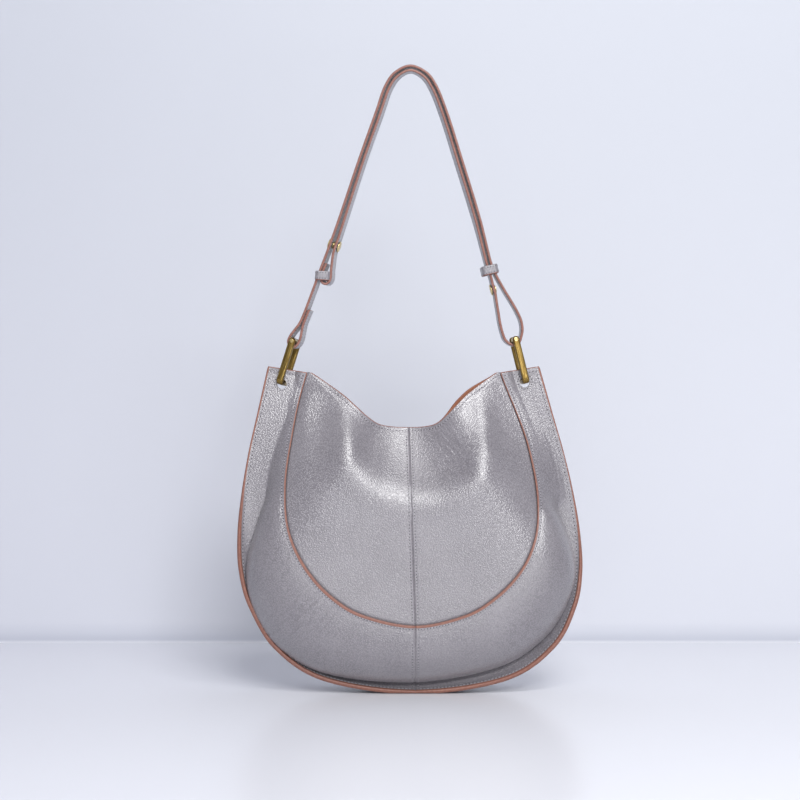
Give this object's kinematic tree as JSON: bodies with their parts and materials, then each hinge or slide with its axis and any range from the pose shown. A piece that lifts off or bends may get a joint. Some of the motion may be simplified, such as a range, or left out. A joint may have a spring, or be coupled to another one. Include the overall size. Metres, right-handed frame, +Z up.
{
  "type": "hobo bag",
  "caption": "Soft slouching shoulder bag with seamed leather panels, flat tab corners, hinged metal shackles and a looped, snapped shoulder strap.",
  "frame": {"origin": "on the floor, under the middle of the standing bag's bounding box", "axes": "+Z up, -Y towards the front panel, +X to the viewer's right when facing the front"},
  "size_m": [0.3308, 0.1164, 0.5927],
  "materials": {
    "grained_leather": "fine pebbled grain, semi-matt",
    "strap_leather": "smooth, semi-matt, edges painted tan",
    "microsuede": "brushed nap, matt",
    "salpa_board": "pressed leather fibre, matt",
    "gold_hardware": "brushed and plated, satin"
  },
  "bodies": {
    "bag": {"front_bib_left": "grained_leather", "front_bib_right": "grained_leather", "back_bib_left": "grained_leather", "back_bib_right": "grained_leather", "front_side_panel_left": "grained_leather", "front_side_panel_right": "grained_leather", "back_side_panel_left": "grained_leather", "back_side_panel_right": "grained_leather", "tab_stiffener_left": "salpa_board", "tab_stiffener_right": "salpa_board", "lining_front": "microsuede", "lining_back": "microsuede", "inside_pocket": "microsuede", "mouth_magnet_front": "gold_hardware", "mouth_magnet_back": "gold_hardware"},
    "left_ring": {"left_shackle": "gold_hardware", "left_crossbar": "gold_hardware"},
    "strap": {"shoulder_strap": "strap_leather", "left_snap_stud": "gold_hardware", "left_snap_socket": "gold_hardware", "right_snap": "gold_hardware"},
    "right_ring": {"right_shackle": "gold_hardware", "right_crossbar": "gold_hardware"},
    "left_keeper": {"left_keeper": "strap_leather"},
    "right_keeper": {"right_keeper": "strap_leather"}
  },
  "joints": [
    {"name": "strap_sway", "type": "hinge", "parent": "bag", "child": "left_ring", "pos_m": [-0.1217, -0.0016, 0.2915], "axis": [0, 1, 0], "range_deg": [-12, 12]},
    {"name": "strap_on_left_ring", "type": "hinge", "parent": "left_ring", "child": "strap", "pos_m": [-0.1095, -0.0016, 0.3303], "axis": [0, 1, 0], "range_deg": [-13.3, 13.3]},
    {"name": "right_ring_on_strap", "type": "hinge", "parent": "strap", "child": "right_ring", "pos_m": [0.0987, -0.0016, 0.3323], "axis": [0, 1, 0], "range_deg": [-13, 13]},
    {"name": "left_keeper_slide", "type": "slide", "parent": "strap", "child": "left_keeper", "axis": [0.3272, 0, 0.9449], "range_m": [0, 0.004]},
    {"name": "right_keeper_slide", "type": "slide", "parent": "strap", "child": "right_keeper", "axis": [-0.2656, 0, 0.9641], "range_m": [0, 0.05]}
  ],
  "couplings": [
    {"joint": "strap_on_left_ring", "follows": "strap_sway", "ratio": -1.1046},
    {"joint": "right_ring_on_strap", "follows": "strap_sway", "ratio": 1.0816}
  ]
}
